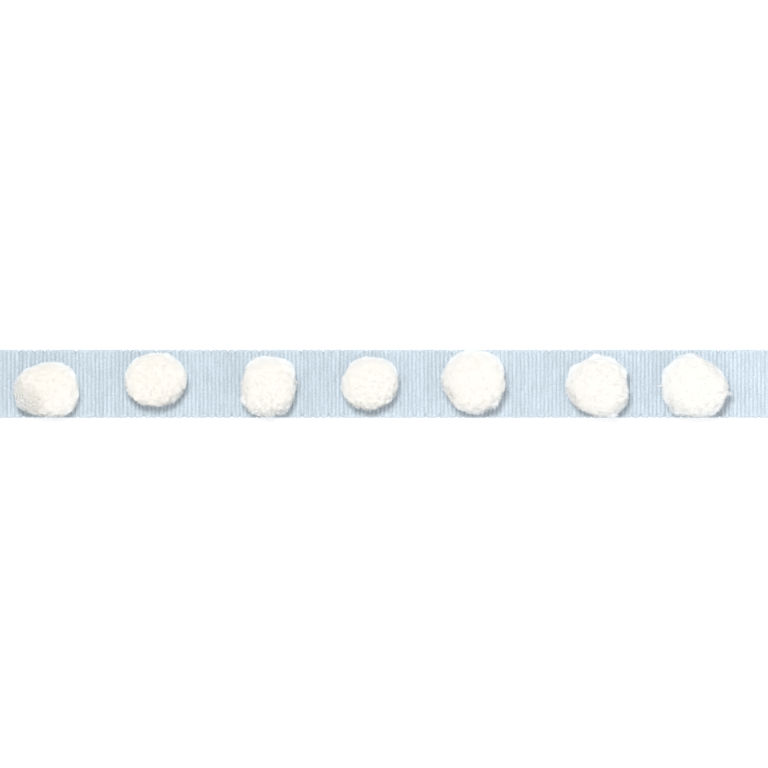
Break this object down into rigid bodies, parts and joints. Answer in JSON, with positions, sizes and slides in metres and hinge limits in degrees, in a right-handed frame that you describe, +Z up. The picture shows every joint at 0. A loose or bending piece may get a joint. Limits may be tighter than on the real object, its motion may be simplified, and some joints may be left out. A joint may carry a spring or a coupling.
{
  "type": "pompom ribbon trim",
  "caption": "Cut length of ribbed grosgrain ribbon lying flat, with a row of soft round cut-yarn pompoms sewn along the middle of its face, as sewing or decorating trim.",
  "frame": {"origin": "middle of the flat underside of the ribbon, halfway along and halfway across", "axes": "+X along the ribbon, +Y across it to its far edge, +Z up out of the face that carries the pompoms"},
  "size_m": [0.2522, 0.0225, 0.0172],
  "materials": {
    "ribbon_cloth": "pale blue ribbed weave, soft satin sheen",
    "pompom_yarn": "cream-white dense cut pile, matte"
  },
  "bodies": {
    "root": {"ribbon": "ribbon_cloth", "pompom_1": "pompom_yarn", "pompom_2": "pompom_yarn", "pompom_3": "pompom_yarn", "pompom_4": "pompom_yarn", "pompom_5": "pompom_yarn", "pompom_6": "pompom_yarn", "pompom_7": "pompom_yarn"}
  },
  "joints": []
}
